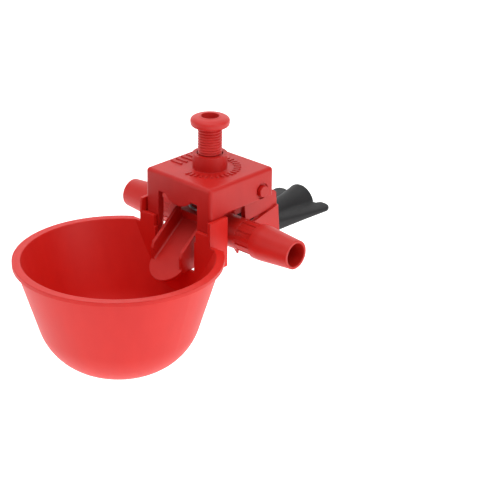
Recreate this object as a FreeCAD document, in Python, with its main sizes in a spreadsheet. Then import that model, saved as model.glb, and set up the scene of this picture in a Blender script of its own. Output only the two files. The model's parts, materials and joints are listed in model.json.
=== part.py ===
import FreeCAD, Part
import math
import os
import Sketcher

# Hanging poultry drinker: a bowl hangs on a small hinged frame, and its weight works a valve in a
# water pipe that is clamped to a cage wall.
# Frame: X along the pipe, +Y away from the birds (out of the cage), +Z up.  The origin is the
# clamp point: the clamp bolt's axis on the rear face of the clamp plate.  Millimetres.
# The hanging pieces are drawn level, then turned together about the pivot to where they rest.

doc = FreeCAD.newDocument("drinker")

DIMENSIONS = [
    # where the main axes lie, from the clamp point
    ("pipe_setback", 19.8),
    ("pipe_height", 9.4),
    ("pivot_setback", 9.6),
    ("pivot_height", 22.3),
    ("screw_setback", 19.6),
    ("bowl_setback", 63.3),
    ("rim_height", 9.7),
    ("rest_lift", 5.0),
    # hanger frame
    ("box_top_height", 29.8),
    ("box_width", 31.0),
    ("box_length", 31.5),
    ("box_depth", 10.4),
    ("frame_wall", 1.8),
    ("box_round", 1.3),
    ("boss_diameter", 12.0),
    ("boss_rise", 5.3),
    ("boss_skirt", 2.4),
    ("boss_mouth_diameter", 9.1),
    ("boss_mouth_depth", 1.2),
    ("window_width", 18.4),
    ("window_drop", 7.0),
    ("tongue_radius", 7.9),
    ("tongue_drop", 9.9),
    ("leg_width", 6.2),
    ("leg_depth", 5.75),
    ("leg_drop", 28.0),
    ("leg_root_round", 2.0),
    ("recess_diameter", 5.8),
    ("recess_depth", 0.6),
    ("mark_height", 0.35),
    ("mark_width", 0.8),
    ("mark_length", 2.4),
    ("mark_inner_radius", 8.4),
    ("mark_spread", 190.0),
    ("mark_count", 19),
    ("bar_length", 5.2),
    ("bar_pitch", 2.6),
    ("bar_count", 5),
    # pivot
    ("pivot_diameter", 4.0),
    ("pivot_stand", 1.0),
    ("running_clearance", 0.06),
    ("side_clearance", 0.7),
    ("stop_gap", 0.3),
    # adjusting screw
    ("thread_diameter", 8.4),
    ("thread_clearance", 0.08),
    ("screw_gap", 9.3),
    ("head_diameter", 13.8),
    ("head_cone", 0.8),
    ("head_side", 2.3),
    ("head_dome", 1.0),
    ("drive_diameter", 6.2),
    ("drive_depth", 6.0),
    ("tip_diameter", 3.8),
    ("tip_length", 1.8),
    # valve
    ("seat_height", 15.8),
    ("seat_diameter", 16.4),
    ("seal_recess_diameter", 8.2),
    ("seal_recess_depth", 1.2),
    ("seal_wire", 1.0),
    ("nozzle_shank_diameter", 5.0),
    ("nozzle_shank_length", 1.9),
    ("nozzle_flange_diameter", 8.0),
    ("nozzle_flange", 0.8),
    ("nozzle_tip_diameter", 3.4),
    ("nozzle_tip", 0.7),
    ("nozzle_orifice", 1.8),
    ("valve_gap", 1.2),
    ("flange_sink", 0.1),
    ("step_gap", 0.2),
    ("end_gap", 0.05),
    ("pad_diameter", 7.0),
    ("pad_thickness", 1.6),
    ("pad_stand", 0.8),
    ("plunger_diameter", 9.0),
    ("plunger_height", 3.0),
    ("fit_gap", 0.02),
    ("wire_diameter", 1.0),
    ("spring_diameter", 14.6),
    ("spring_turns", 5.0),
    # pipe and bracket
    ("pipe_diameter", 11.2),
    ("bore_diameter", 8.4),
    ("tee_half_length", 39.4),
    ("collar_start", 16.0),
    ("collar_core_diameter", 10.6),
    ("rib_width", 1.7),
    ("rib_count", 10),
    ("tail_start", 23.0),
    ("tail_land", 2.6),
    ("tail_diameter", 12.4),
    ("tail_tip_diameter", 10.2),
    ("plate_width", 27.5),
    ("plate_thickness", 1.8),
    ("plate_top", 12.9),
    ("plate_drop", 9.1),
    ("gusset_thickness", 1.5),
    ("nib_place", 12.1),
    ("nib_length", 3.0),
    ("nib_drop", 2.6),
    ("nib_thickness", 0.8),
    ("gusset_reach", 4.2),
    ("gusset_rise", 1.4),
    ("ear_thickness", 1.8),
    ("ear_front", 6.5),
    ("ear_foot", 12.3),
    ("ear_hub_radius", 3.2),
    ("prong_spacing", 6.0),
    ("prong_width", 2.6),
    ("prong_height", 4.4),
    ("prong_reach", 5.4),
    ("prong_drop", 1.2),
    # clamp bolt
    ("bolt_diameter", 6.0),
    ("bolt_length", 18.0),
    ("bolt_head_diameter", 12.0),
    ("bolt_head_side", 1.9),
    ("bolt_head_dome", 0.9),
    # chute
    ("chute_width", 14.8),
    ("chute_wall", 1.2),
    ("chute_top", 17.4),
    ("chute_bend", 9.7),
    ("chute_end", 23.0),
    ("lip_height", 1.1),
    ("chute_slope", 35.0),
    ("chute_round", 0.8),
    ("lip_reach", 5.5),
    ("lip_root", 1.0),
    ("skirt_length", 8.0),
    # wing nut
    ("nut_diameter", 10.0),
    ("nut_waist_end", 18.5),
    ("nut_swell_end", 22.3),
    ("nut_swell_diameter", 10.8),
    ("nut_end_diameter", 12.4),
    ("nut_end_round", 0.8),
    ("nut_length", 27.1),
    ("nut_gap", 0.3),
    ("nut_bore_depth", 19.5),
    ("wing_root_span", 6.8),
    ("wing_half_span", 13.2),
    ("wing_thickness", 3.2),
    ("wing_start", 2.0),
    ("wing_overhang", 1.9),
    ("wing_tip", 6.2),
    ("wing_notch", 1.3),
    ("wing_round", 2.9),
    # bowl
    ("rim_diameter", 70.8),
    ("rim_thickness", 1.5),
    ("bowl_top_diameter", 68.4),
    ("bowl_foot_diameter", 44.8),
    ("bowl_depth", 40.0),
    ("bowl_round", 22.0),
    ("bowl_wall", 1.6),
    ("bowl_rear_wall", 1.4),
    ("bowl_mark_diameter", 15.0),
    ("bowl_mark_bore", 10.6),
    ("bowl_mark_height", 0.7),
    ("leg_clearance", 0.15),
    ("cutout_width", 18.8),
    ("cutout_drop", 11.4),
    ("tab_rise", 4.1),
    ("socket_wall", 1.2),
    ("socket_rise", 8.9),
    ("socket_lip", 1.5),
    ("socket_lip_drop", 1.5),
]

dims = doc.addObject("Spreadsheet::Sheet", "dims")
for row, (alias, value) in enumerate(DIMENSIONS, start=1):
    dims.set(f"A{row}", alias)
    dims.set(f"B{row}", str(value))
    dims.setAlias(f"B{row}", alias)
doc.recompute()

# Derived places, each written once as an expression on the sheet.
AXIS_Y = "-dims.screw_setback"
PIPE_Y = "-dims.pipe_setback"
PIVOT_Y = "-dims.pivot_setback"
PIPE_R = "dims.pipe_diameter / 2"
BOX_X = "dims.box_width / 2"
BOX_IN_X = "(dims.box_width / 2 - dims.frame_wall)"
FRONT_Y = "(-dims.screw_setback - dims.box_length / 2)"
FRONT_IN_Y = "(-dims.screw_setback - dims.box_length / 2 + dims.frame_wall)"
REAR_Y = "(-dims.screw_setback + dims.box_length / 2)"
REAR_IN_Y = "(-dims.screw_setback + dims.box_length / 2 - dims.frame_wall)"
BOX_FOOT = "(dims.box_top_height - dims.box_depth)"
ROOF_IN = "(dims.box_top_height - dims.frame_wall)"
LEG_REAR_Y = "(-dims.screw_setback - dims.box_length / 2 + dims.leg_depth)"
LEG_IN_X = "(dims.box_width / 2 - dims.leg_width)"
LEG_FOOT = "(dims.box_top_height - dims.leg_drop)"
EAR_X = "(dims.box_width / 2 - dims.frame_wall - dims.side_clearance)"
EAR_FRONT_Y = "(-dims.pivot_setback - dims.ear_front)"
# The box's rear foot stops on the ears when the bowl is up, so their shoulders lie below it there.
FOOT_DROP = f"(dims.pivot_height - {BOX_FOOT})"
FOOT_REACH = f"({REAR_Y} + dims.pivot_setback)"
SHOULDER = (f"(dims.pivot_height - {FOOT_DROP} * cos(dims.rest_lift)"
            f" - {FOOT_REACH} * sin(dims.rest_lift) - dims.stop_gap)")
PAD_FOOT = "(dims.seat_height + dims.nozzle_flange + dims.nozzle_tip - dims.flange_sink + dims.valve_gap)"
PLUNGER_FOOT = f"({PAD_FOOT} + dims.pad_stand)"
PLUNGER_TOP = f"({PLUNGER_FOOT} + dims.plunger_height)"
NUT_END = "(dims.nut_gap + dims.nut_length)"
RIM_FOOT = "(dims.rim_height - dims.rim_thickness)"
BOWL_FOOT = "(dims.rim_height - dims.bowl_depth)"
BACK_Y = f"({FRONT_Y} - dims.leg_clearance)"
BACK_IN_Y = f"({FRONT_Y} - dims.leg_clearance - dims.bowl_rear_wall)"
SOCKET_X = "(dims.box_width / 2 + dims.leg_clearance)"
SOCKET_OUT_X = "(dims.box_width / 2 + dims.leg_clearance + dims.socket_wall)"
SOCKET_REAR_Y = f"({LEG_REAR_Y} + dims.leg_clearance)"
SOCKET_OUT_Y = f"({LEG_REAR_Y} + dims.leg_clearance + dims.socket_wall)"


def new_body(name):
    body = doc.addObject("PartDesign::Body", name)
    body.Label = name
    return body


def origin_plane(body, role):
    return next(item for item in body.Origin.OriginFeatures if item.Role == role)


def new_sketch(body, name, role, shift=("0", "0", "0")):
    """Sketch on one of the body's origin planes, moved by three bound distances."""
    sketch = body.newObject("Sketcher::SketchObject", name)
    sketch.AttachmentSupport = [(origin_plane(body, role), "")]
    sketch.MapMode = "FlatFace"
    for letter, amount in zip("xyz", shift):
        sketch.setExpression(f"AttachmentOffset.Base.{letter}", amount)
    return sketch


def bind(sketch, kind, *where, to):
    """Add a dimension to a sketch and bind it to an expression."""
    number = sketch.addConstraint(Sketcher.Constraint(kind, *where, 1.0))
    sketch.setExpression(f"Constraints[{number}]", to)


def outline(body, name, role, corners, shift=("0", "0", "0")):
    """Closed outline of straight runs; each corner is bound to two expressions."""
    sketch = new_sketch(body, name, role, shift)
    count = len(corners)
    turn = 2 * math.pi / count
    start = [FreeCAD.Vector(math.cos(turn * i), math.sin(turn * i), 0) for i in range(count)]
    for i in range(count):
        sketch.addGeometry(Part.LineSegment(start[i], start[(i + 1) % count]))
    for i in range(count):
        sketch.addConstraint(Sketcher.Constraint("Coincident", i, 2, (i + 1) % count, 1))
    for i, (across, up) in enumerate(corners):
        bind(sketch, "DistanceX", -1, 1, i, 1, to=across)
        bind(sketch, "DistanceY", -1, 1, i, 1, to=up)
    return sketch


def box_outline(body, name, role, low, high, shift=("0", "0", "0")):
    """Rectangle from its low corner to its high corner."""
    corners = [low, (high[0], low[1]), high, (low[0], high[1])]
    return outline(body, name, role, corners, shift)


def ring(body, name, role, radius, shift=("0", "0", "0")):
    """Circle about the sketch's own origin."""
    sketch = new_sketch(body, name, role, shift)
    sketch.addGeometry(Part.Circle(FreeCAD.Vector(0, 0, 0), FreeCAD.Vector(0, 0, 1), 1.0))
    sketch.addConstraint(Sketcher.Constraint("Coincident", 0, 3, -1, 1))
    bind(sketch, "Radius", 0, to=radius)
    return sketch


def hanging_segment(body, name, role, shift, radius, half_chord, chord, lowest):
    """Segment of a disc below a level chord; the chord's ends and the lowest place are bound."""
    sketch = new_sketch(body, name, role, shift)
    half_angle = math.asin(min(half_chord / radius, 1))
    down = -math.pi / 2
    disc = Part.Circle(FreeCAD.Vector(0, 0, 0), FreeCAD.Vector(0, 0, 1), radius)
    arc = Part.ArcOfCircle(disc, down - half_angle, down + half_angle)
    sketch.addGeometry(arc)
    sketch.addGeometry(Part.LineSegment(arc.EndPoint, arc.StartPoint))
    sketch.addConstraint(Sketcher.Constraint("Coincident", 0, 2, 1, 1))
    sketch.addConstraint(Sketcher.Constraint("Coincident", 0, 1, 1, 2))
    sketch.addConstraint(Sketcher.Constraint("Horizontal", 1))
    sketch.addConstraint(Sketcher.Constraint("PointOnObject", 0, 3, -2))
    bind(sketch, "Radius", 0, to=str(radius))
    bind(sketch, "DistanceY", -1, 1, 0, 3, to=f"{lowest} + {radius}")
    bind(sketch, "DistanceY", -1, 1, 0, 1, to=chord)
    return sketch


def extrude(body, kind, name, sketch, length, both_ways=False, backwards=False):
    """Pad or Pocket of a bound length."""
    feature = body.newObject(f"PartDesign::{kind}", name)
    feature.Profile = sketch
    feature.SideType = "Symmetric" if both_ways else "One side"
    feature.Reversed = backwards
    feature.setExpression("Length", length)
    settle(feature)
    return feature


def pad(body, name, sketch, length, **how):
    return extrude(body, "Pad", name, sketch, length, **how)


def pocket(body, name, sketch, length, **how):
    before = body.Shape.Volume
    feature = extrude(body, "Pocket", name, sketch, length, **how)
    if not body.Shape.Volume < before - 1e-6:
        raise RuntimeError(f"{name} cuts nothing")
    return feature


def spin(body, name, sketch, axis):
    """Full revolution of a sketch about one of its own axes."""
    feature = body.newObject("PartDesign::Revolution", name)
    feature.Profile = sketch
    feature.ReferenceAxis = (sketch, [axis])
    feature.Angle = 360
    settle(feature)
    return feature


def mirror(body, name, features):
    """Repeat features on the other side of the middle plane."""
    feature = body.newObject("PartDesign::Mirrored", name)
    feature.Originals = features
    feature.MirrorPlane = (origin_plane(body, "YZ_Plane"), [""])
    body.Tip = feature
    settle(feature)
    return feature


def around(body, name, features, sketch, count, angle="360"):
    """Repeat features about the normal of a sketch."""
    feature = body.newObject("PartDesign::PolarPattern", name)
    feature.Originals = features
    feature.Axis = (sketch, ["N_Axis"])
    feature.setExpression("Angle", angle)
    feature.setExpression("Occurrences", count)
    body.Tip = feature
    settle(feature)
    return feature


def fillet(body, name, radius, wanted):
    """Round the edges of the body's tip whose middle point and direction pass the test."""
    base = body.Tip
    names = []
    for number, edge in enumerate(base.Shape.Edges, start=1):
        middle = edge.valueAt((edge.FirstParameter + edge.LastParameter) / 2)
        along = edge.tangentAt((edge.FirstParameter + edge.LastParameter) / 2)
        if wanted(middle, along):
            names.append(f"Edge{number}")
    if not names:
        raise RuntimeError(f"{name} finds no edge")
    feature = body.newObject("PartDesign::Fillet", name)
    feature.Base = (base, names)
    feature.setExpression("Radius", radius)
    settle(feature)
    return feature


def settle(feature):
    doc.recompute()
    if "Invalid" in feature.State or "Error" in feature.State:
        raise RuntimeError(f"{feature.Name} failed: {feature.getStatusString()}")


def near(value, target):
    return abs(value - target) < 0.02


def size(alias):
    """A dimension's number, for finding edges."""
    return float(dims.get(alias))


# --- Tee bracket: one moulding of pipe, hose tails, valve seat, ears, plate, prongs and chute ---

tee = new_body("tee_bracket")
PIPE_SHIFT = ("0", "dims.pipe_height", "dims.pipe_setback")
barrel = outline(tee, "barrel_profile", "XZ_Plane", [
    ("0", "0"),
    ("dims.tee_half_length", "0"),
    ("dims.tee_half_length", "dims.tail_tip_diameter / 2"),
    ("dims.tail_start + dims.tail_land", "dims.tail_diameter / 2"),
    ("dims.tail_start", "dims.tail_diameter / 2"),
    ("dims.tail_start", "dims.collar_core_diameter / 2"),
    ("dims.collar_start", "dims.collar_core_diameter / 2"),
    ("dims.collar_start", PIPE_R),
    ("0", PIPE_R),
], PIPE_SHIFT)
half_pipe = spin(tee, "half_pipe", barrel, "H_Axis")
mirror(tee, "both_tails", [half_pipe])

rib = box_outline(
    tee, "rib_section", "YZ_Plane",
    ("-dims.rib_width / 2", "0"),
    ("dims.rib_width / 2", "sqrt(dims.pipe_diameter ^ 2 - dims.rib_width ^ 2) / 2"),
    (PIPE_Y, "dims.pipe_height", "0"),
)
collar_rib = pad(tee, "collar_rib", rib, "2 * dims.tail_start", both_ways=True)
around(tee, "collar_ribs", [collar_rib], rib, "dims.rib_count")

seat = ring(tee, "seat_circle", "XY_Plane", "dims.seat_diameter / 2", ("0", AXIS_Y, "dims.pipe_height"))
pad(tee, "valve_seat", seat, "dims.seat_height - dims.pipe_height")

ear = outline(tee, "ear_side", "YZ_Plane", [
    (EAR_FRONT_Y, "dims.ear_foot"),
    ("0", "dims.ear_foot"),
    ("0", f"{SHOULDER} - 1"),
    ("-1", SHOULDER),
    (f"{PIVOT_Y} + dims.ear_hub_radius", SHOULDER),
    (f"{PIVOT_Y} + dims.ear_hub_radius", "dims.pivot_height"),
    (f"{PIVOT_Y} - dims.ear_hub_radius", "dims.pivot_height"),
    (EAR_FRONT_Y, SHOULDER),
], ("0", "0", f"{EAR_X} - dims.ear_thickness"))
ear_web = pad(tee, "ear_web", ear, "dims.ear_thickness")
hub = ring(tee, "hub_circle", "YZ_Plane", "dims.ear_hub_radius",
           (PIVOT_Y, "dims.pivot_height", f"{EAR_X} - dims.ear_thickness"))
ear_hub = pad(tee, "ear_hub", hub, "dims.ear_thickness")
trunnion = ring(tee, "trunnion_circle", "YZ_Plane", "dims.pivot_diameter / 2",
                (PIVOT_Y, "dims.pivot_height", f"{EAR_X} - dims.ear_thickness"))
ear_pin = pad(tee, "ear_pin", trunnion,
              f"dims.ear_thickness + dims.side_clearance + dims.frame_wall + dims.pivot_stand")
gusset = outline(tee, "gusset_side", "YZ_Plane", [
    ("0", "dims.plate_top"),
    (f"{PIPE_Y} + dims.gusset_reach", "dims.pipe_height + dims.gusset_rise"),
    ("-dims.plate_thickness", "-dims.plate_drop"),
    ("0", "-dims.plate_drop"),
], ("0", "0", "dims.plate_width / 2 - dims.gusset_thickness"))
gusset_wall = pad(tee, "gusset_wall", gusset, "dims.gusset_thickness")
nib = outline(tee, "nib_face", "XZ_Plane", [
    ("dims.nib_place - dims.nib_length", f"0.4 - {PIPE_R}"),
    ("dims.nib_place", f"-{PIPE_R} - dims.nib_drop"),
    ("dims.nib_place + 0.6", f"0.4 - {PIPE_R}"),
], PIPE_SHIFT)
pipe_nib = pad(tee, "pipe_nib", nib, "dims.nib_thickness", both_ways=True)
mirror(tee, "both_ears", [ear_web, ear_hub, ear_pin, gusset_wall, pipe_nib])

plate = box_outline(tee, "plate_face", "XZ_Plane",
                    ("-dims.plate_width / 2", "-dims.plate_drop"),
                    ("dims.plate_width / 2", "dims.plate_top"))
pad(tee, "clamp_plate", plate, "dims.plate_thickness")

prong_face = box_outline(
    tee, "prong_face", "XZ_Plane",
    ("dims.prong_spacing / 2 - dims.prong_width / 2",
     "dims.plate_top - dims.prong_drop - dims.prong_height"),
    ("dims.prong_spacing / 2 + dims.prong_width / 2", "dims.plate_top - dims.prong_drop"),
)
prong = pad(tee, "prong", prong_face, "dims.prong_reach", backwards=True)
mirror(tee, "both_prongs", [prong])
bolt_hole = ring(tee, "bolt_hole_circle", "XZ_Plane", "dims.bolt_diameter / 2 + dims.fit_gap")
pocket(tee, "bolt_hole", bolt_hole, "dims.plate_thickness", backwards=True)

# The chute is a trough: its floor falls from the pipe to the lip at one slope, and its side walls
# reach down past the floor to one level, so that it is hollow below.
CHUTE_RISE = "tan(dims.chute_slope)"
LIP = "dims.lip_height"
FLOOR = "dims.chute_wall / cos(dims.chute_slope)"
END_Y = "(-dims.screw_setback - dims.chute_end)"
BEND_Y = "(-dims.screw_setback - dims.chute_bend)"
LEDGE_Y = "(-dims.screw_setback - dims.seat_diameter / 2)"
ROOT_Y = "(-dims.pipe_setback - dims.pipe_diameter / 2 + 1)"
chute = outline(tee, "chute_side", "YZ_Plane", [
    (ROOT_Y, "dims.seat_height"),
    (LEDGE_Y, "dims.seat_height"),
    (f"{LEDGE_Y} - dims.step_gap", "dims.chute_top"),
    (BEND_Y, "dims.chute_top"),
    (f"{END_Y} + 1", f"dims.chute_top - ({BEND_Y} - {END_Y} - 1) * {CHUTE_RISE}"),
    (END_Y, f"dims.chute_top - ({BEND_Y} - {END_Y} - 1) * {CHUTE_RISE} - 2"),
    (END_Y, LIP),
    (f"{END_Y} + dims.skirt_length", LIP),
    (ROOT_Y, "dims.pipe_height - dims.pipe_diameter / 4"),
])
pad(tee, "chute_block", chute, "dims.chute_width", both_ways=True)
channel = outline(tee, "channel_side", "YZ_Plane", [
    (LEDGE_Y, "dims.chute_top + 1"),
    (f"{END_Y} - 2", "dims.chute_top + 1"),
    (f"{END_Y} - 2", f"{LIP} - 2 * {CHUTE_RISE} + {FLOOR}"),
    (LEDGE_Y, f"{LIP} + ({LEDGE_Y} - {END_Y}) * {CHUTE_RISE} + {FLOOR}"),
])
pocket(tee, "chute_channel", channel, "dims.chute_width - 2 * dims.chute_wall", both_ways=True)
below = outline(tee, "below_floor_side", "YZ_Plane", [
    (END_Y, LIP),
    (LEDGE_Y, f"{LIP} + ({LEDGE_Y} - {END_Y}) * {CHUTE_RISE}"),
    (LEDGE_Y, f"{LIP} - 1"),
    (END_Y, f"{LIP} - 1"),
])
pocket(tee, "chute_underside", below, "dims.chute_width - 2 * dims.chute_wall", both_ways=True)
end_y = -size("screw_setback") - size("chute_end")
slope = math.radians(size("chute_slope"))
floor_top = size("lip_height") + size("chute_wall") / math.cos(slope)
fillet(tee, "chute_floor_round", "dims.chute_round", lambda middle, along: (
    abs(middle.z - floor_top - (middle.y - end_y) * math.tan(slope)) < 0.05
    and abs(along.x) < 0.01
    and near(abs(middle.x), size("chute_width") / 2 - size("chute_wall"))))

# The floor runs on past the side walls as a round lip, a segment of a disc on the floor's slope.
lip_half = size("chute_width") / 2
lip_depth = size("lip_reach") + size("lip_root")
lip_radius = (lip_half ** 2 + lip_depth ** 2) / (2 * lip_depth)
lip = hanging_segment(tee, "lip_plan", "XY_Plane", ("0", END_Y, LIP), lip_radius, lip_half,
                      "dims.lip_root", "-dims.lip_reach")
lip.setExpression("AttachmentOffset.Rotation.Axis.x", "1")
lip.setExpression("AttachmentOffset.Rotation.Axis.z", "0")
lip.setExpression("AttachmentOffset.Rotation.Angle", "dims.chute_slope")
pad(tee, "lip", lip, "dims.chute_wall")

fillet(tee, "prong_end_round", "dims.prong_width * 0.45", lambda middle, along: (
    near(middle.y, size("prong_reach")) and abs(along.z) > 0.9))

water_way = ring(tee, "bore_circle", "YZ_Plane", "dims.bore_diameter / 2", (PIPE_Y, "dims.pipe_height", "0"))
pocket(tee, "water_way", water_way, "2 * dims.tee_half_length + 2", both_ways=True)
valve_hole = ring(tee, "valve_hole_circle", "XY_Plane", "dims.nozzle_shank_diameter / 2 + dims.fit_gap",
                  ("0", AXIS_Y, "dims.seat_height"))
pocket(tee, "valve_hole", valve_hole, "dims.seat_height - dims.pipe_height")
seal_recess = ring(tee, "seal_recess_circle", "XY_Plane", "dims.seal_recess_diameter / 2",
                   ("0", AXIS_Y, "dims.seat_height"))
pocket(tee, "seal_recess", seal_recess, "dims.seal_recess_depth")

# --- Hanger frame: box open below, boss for the screw, two angle-shaped front legs ---

frame = new_body("hanger_frame")
block = box_outline(frame, "box_plan", "XY_Plane",
                    (f"-{BOX_X}", FRONT_Y), (BOX_X, REAR_Y), ("0", "0", BOX_FOOT))
pad(frame, "box_block", block, "dims.box_depth")
leg_plan = outline(frame, "leg_plan", "XY_Plane", [
    (LEG_IN_X, FRONT_Y),
    (BOX_X, FRONT_Y),
    (BOX_X, LEG_REAR_Y),
    (BOX_IN_X, LEG_REAR_Y),
    (BOX_IN_X, FRONT_IN_Y),
    (LEG_IN_X, FRONT_IN_Y),
], ("0", "0", LEG_FOOT))
leg = pad(frame, "leg", leg_plan, "dims.leg_drop")
mirror(frame, "both_legs", [leg])

box_x = size("box_width") / 2
front_y = -size("screw_setback") - size("box_length") / 2
rear_y = -size("screw_setback") + size("box_length") / 2
leg_rear_y = front_y + size("leg_depth")
fillet(frame, "leg_root_rounds", "dims.leg_root_round", lambda middle, along: (
    near(middle.y, leg_rear_y) and near(middle.z, size("box_top_height") - size("box_depth"))
    and abs(along.x) > 0.9))
fillet(frame, "corner_rounds", "dims.box_round", lambda middle, along: (
    near(middle.z, size("box_top_height"))
    or (abs(along.z) > 0.9 and near(abs(middle.x), box_x)
        and (near(middle.y, front_y) or near(middle.y, rear_y)))))

hollow = box_outline(frame, "hollow_plan", "XY_Plane",
                     (f"-{BOX_IN_X}", FRONT_IN_Y), (BOX_IN_X, REAR_IN_Y), ("0", "0", ROOF_IN))
pocket(frame, "hollow", hollow, "dims.leg_drop")
boss = ring(frame, "boss_circle", "XY_Plane", "dims.boss_diameter / 2",
            ("0", AXIS_Y, f"{ROOF_IN} - dims.boss_skirt"))
pad(frame, "boss", boss, "dims.boss_skirt + dims.frame_wall + dims.boss_rise")
window = box_outline(frame, "window_face", "XZ_Plane",
                     ("-dims.window_width / 2", LEG_FOOT),
                     ("dims.window_width / 2", "dims.box_top_height - dims.window_drop"),
                     ("0", "0", f"-{FRONT_Y}"))
pocket(frame, "window", window, "dims.frame_wall")

# The tongue is a segment of a disc that hangs in the window.
tongue_bulge = size("tongue_drop") - size("window_drop")
tongue_half = math.sqrt(tongue_bulge * (2 * size("tongue_radius") - tongue_bulge))
tongue = hanging_segment(frame, "tongue_face", "XZ_Plane", ("0", "0", f"-{FRONT_Y}"),
                         size("tongue_radius"), tongue_half,
                         "dims.box_top_height - dims.window_drop",
                         "dims.box_top_height - dims.tongue_drop")
pad(frame, "tongue", tongue, "dims.frame_wall", backwards=True)

screw_bore = ring(frame, "screw_bore_circle", "XY_Plane",
                  "dims.thread_diameter / 2 + dims.thread_clearance",
                  ("0", AXIS_Y, "dims.box_top_height + dims.boss_rise"))
pocket(frame, "screw_bore", screw_bore, "dims.boss_rise + dims.frame_wall + dims.boss_skirt")
boss_mouth = ring(frame, "boss_mouth_circle", "XY_Plane", "dims.boss_mouth_diameter / 2",
                  ("0", AXIS_Y, "dims.box_top_height + dims.boss_rise"))
pocket(frame, "boss_mouth", boss_mouth, "dims.boss_mouth_depth")
pivot_hole = ring(frame, "pivot_hole_circle", "YZ_Plane",
                  "dims.pivot_diameter / 2 + dims.running_clearance", (PIVOT_Y, "dims.pivot_height", "0"))
pocket(frame, "pivot_holes", pivot_hole, "dims.box_width + 2", both_ways=True)
recess = ring(frame, "recess_circle", "YZ_Plane", "dims.recess_diameter / 2",
              (PIVOT_Y, "dims.pivot_height", BOX_X))
pivot_recess = pocket(frame, "pivot_recess", recess, "dims.recess_depth")
mirror(frame, "both_recesses", [pivot_recess])

# Plain raised marks on the roof: ticks round the boss and a row of bars.
tick_plan = box_outline(
    frame, "tick_plan", "XY_Plane",
    ("dims.mark_inner_radius", "-dims.mark_width / 2"),
    ("dims.mark_inner_radius + dims.mark_length", "dims.mark_width / 2"),
    ("0", AXIS_Y, "dims.box_top_height"),
)
tick_plan.setExpression("AttachmentOffset.Rotation.Axis.z", "1")
tick_plan.setExpression("AttachmentOffset.Rotation.Angle", "-dims.mark_spread / 2")
tick = pad(frame, "tick", tick_plan, "dims.mark_height")
around(frame, "ticks", [tick], tick_plan, "dims.mark_count", "dims.mark_spread")
bar_plan = box_outline(
    frame, "bar_plan", "XY_Plane",
    ("-dims.mark_inner_radius - dims.bar_length",
     "-dims.mark_width / 2 - dims.bar_pitch * (dims.bar_count - 1) / 2"),
    ("-dims.mark_inner_radius",
     "dims.mark_width / 2 - dims.bar_pitch * (dims.bar_count - 1) / 2"),
    ("0", AXIS_Y, "dims.box_top_height"),
)
bar = pad(frame, "bar", bar_plan, "dims.mark_height")
bars = frame.newObject("PartDesign::LinearPattern", "bars")
bars.Originals = [bar]
bars.Direction = (bar_plan, ["V_Axis"])
bars.setExpression("Length", "dims.bar_pitch * (dims.bar_count - 1)")
bars.setExpression("Occurrences", "dims.bar_count")
frame.Tip = bars
settle(bars)

# --- Turned and moulded round pieces, each a profile (radius, height) about the screw's axis ---


def round_piece(name, profile):
    body = new_body(name)
    sketch = outline(body, f"{name}_profile", "XZ_Plane", profile, ("0", "0", "dims.screw_setback"))
    spin(body, f"{name}_turned", sketch, "V_Axis")
    return body


HEAD_FOOT = "(dims.box_top_height + dims.boss_rise + dims.screw_gap)"
HEAD_SIDE = f"({HEAD_FOOT} + dims.head_cone)"
HEAD_EDGE = f"({HEAD_SIDE} + dims.head_side)"
HEAD_TOP = f"({HEAD_EDGE} + dims.head_dome)"
SHANK_FOOT = f"({PLUNGER_TOP} + dims.step_gap)"
screw = round_piece("adjusting_screw", [
    ("0", f"{SHANK_FOOT} - dims.tip_length"),
    ("dims.tip_diameter / 2", f"{SHANK_FOOT} - dims.tip_length"),
    ("dims.tip_diameter / 2", SHANK_FOOT),
    ("dims.thread_diameter / 2", SHANK_FOOT),
    ("dims.thread_diameter / 2", HEAD_FOOT),
    ("dims.head_diameter / 2", HEAD_SIDE),
    ("dims.head_diameter / 2", HEAD_EDGE),
    ("dims.head_diameter / 2 - dims.head_dome", f"{HEAD_EDGE} + dims.head_dome * 0.7"),
    ("dims.drive_diameter / 2", HEAD_TOP),
    ("dims.drive_diameter / 2", f"{HEAD_TOP} - dims.drive_depth"),
    ("0", f"{HEAD_TOP} - dims.drive_depth"),
])
POCKET_R = "(dims.pad_diameter / 2 + dims.fit_gap)"
TIP_R = "(dims.tip_diameter / 2 + dims.running_clearance)"
TIP_HOLE = f"({PLUNGER_TOP} - dims.tip_length)"
plunger = round_piece("plunger", [
    ("0", f"{PLUNGER_FOOT} + dims.pad_thickness - dims.pad_stand"),
    (POCKET_R, f"{PLUNGER_FOOT} + dims.pad_thickness - dims.pad_stand"),
    (POCKET_R, PLUNGER_FOOT),
    ("dims.plunger_diameter / 2", PLUNGER_FOOT),
    ("dims.plunger_diameter / 2", PLUNGER_TOP),
    (TIP_R, PLUNGER_TOP),
    (TIP_R, TIP_HOLE),
    ("0", TIP_HOLE),
])
valve_pad = round_piece("valve_pad", [
    ("0", PAD_FOOT),
    ("dims.pad_diameter / 2", PAD_FOOT),
    ("dims.pad_diameter / 2", f"{PAD_FOOT} + dims.pad_thickness"),
    ("0", f"{PAD_FOOT} + dims.pad_thickness"),
])
FLANGE_FOOT = "(dims.seat_height - dims.flange_sink)"
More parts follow.
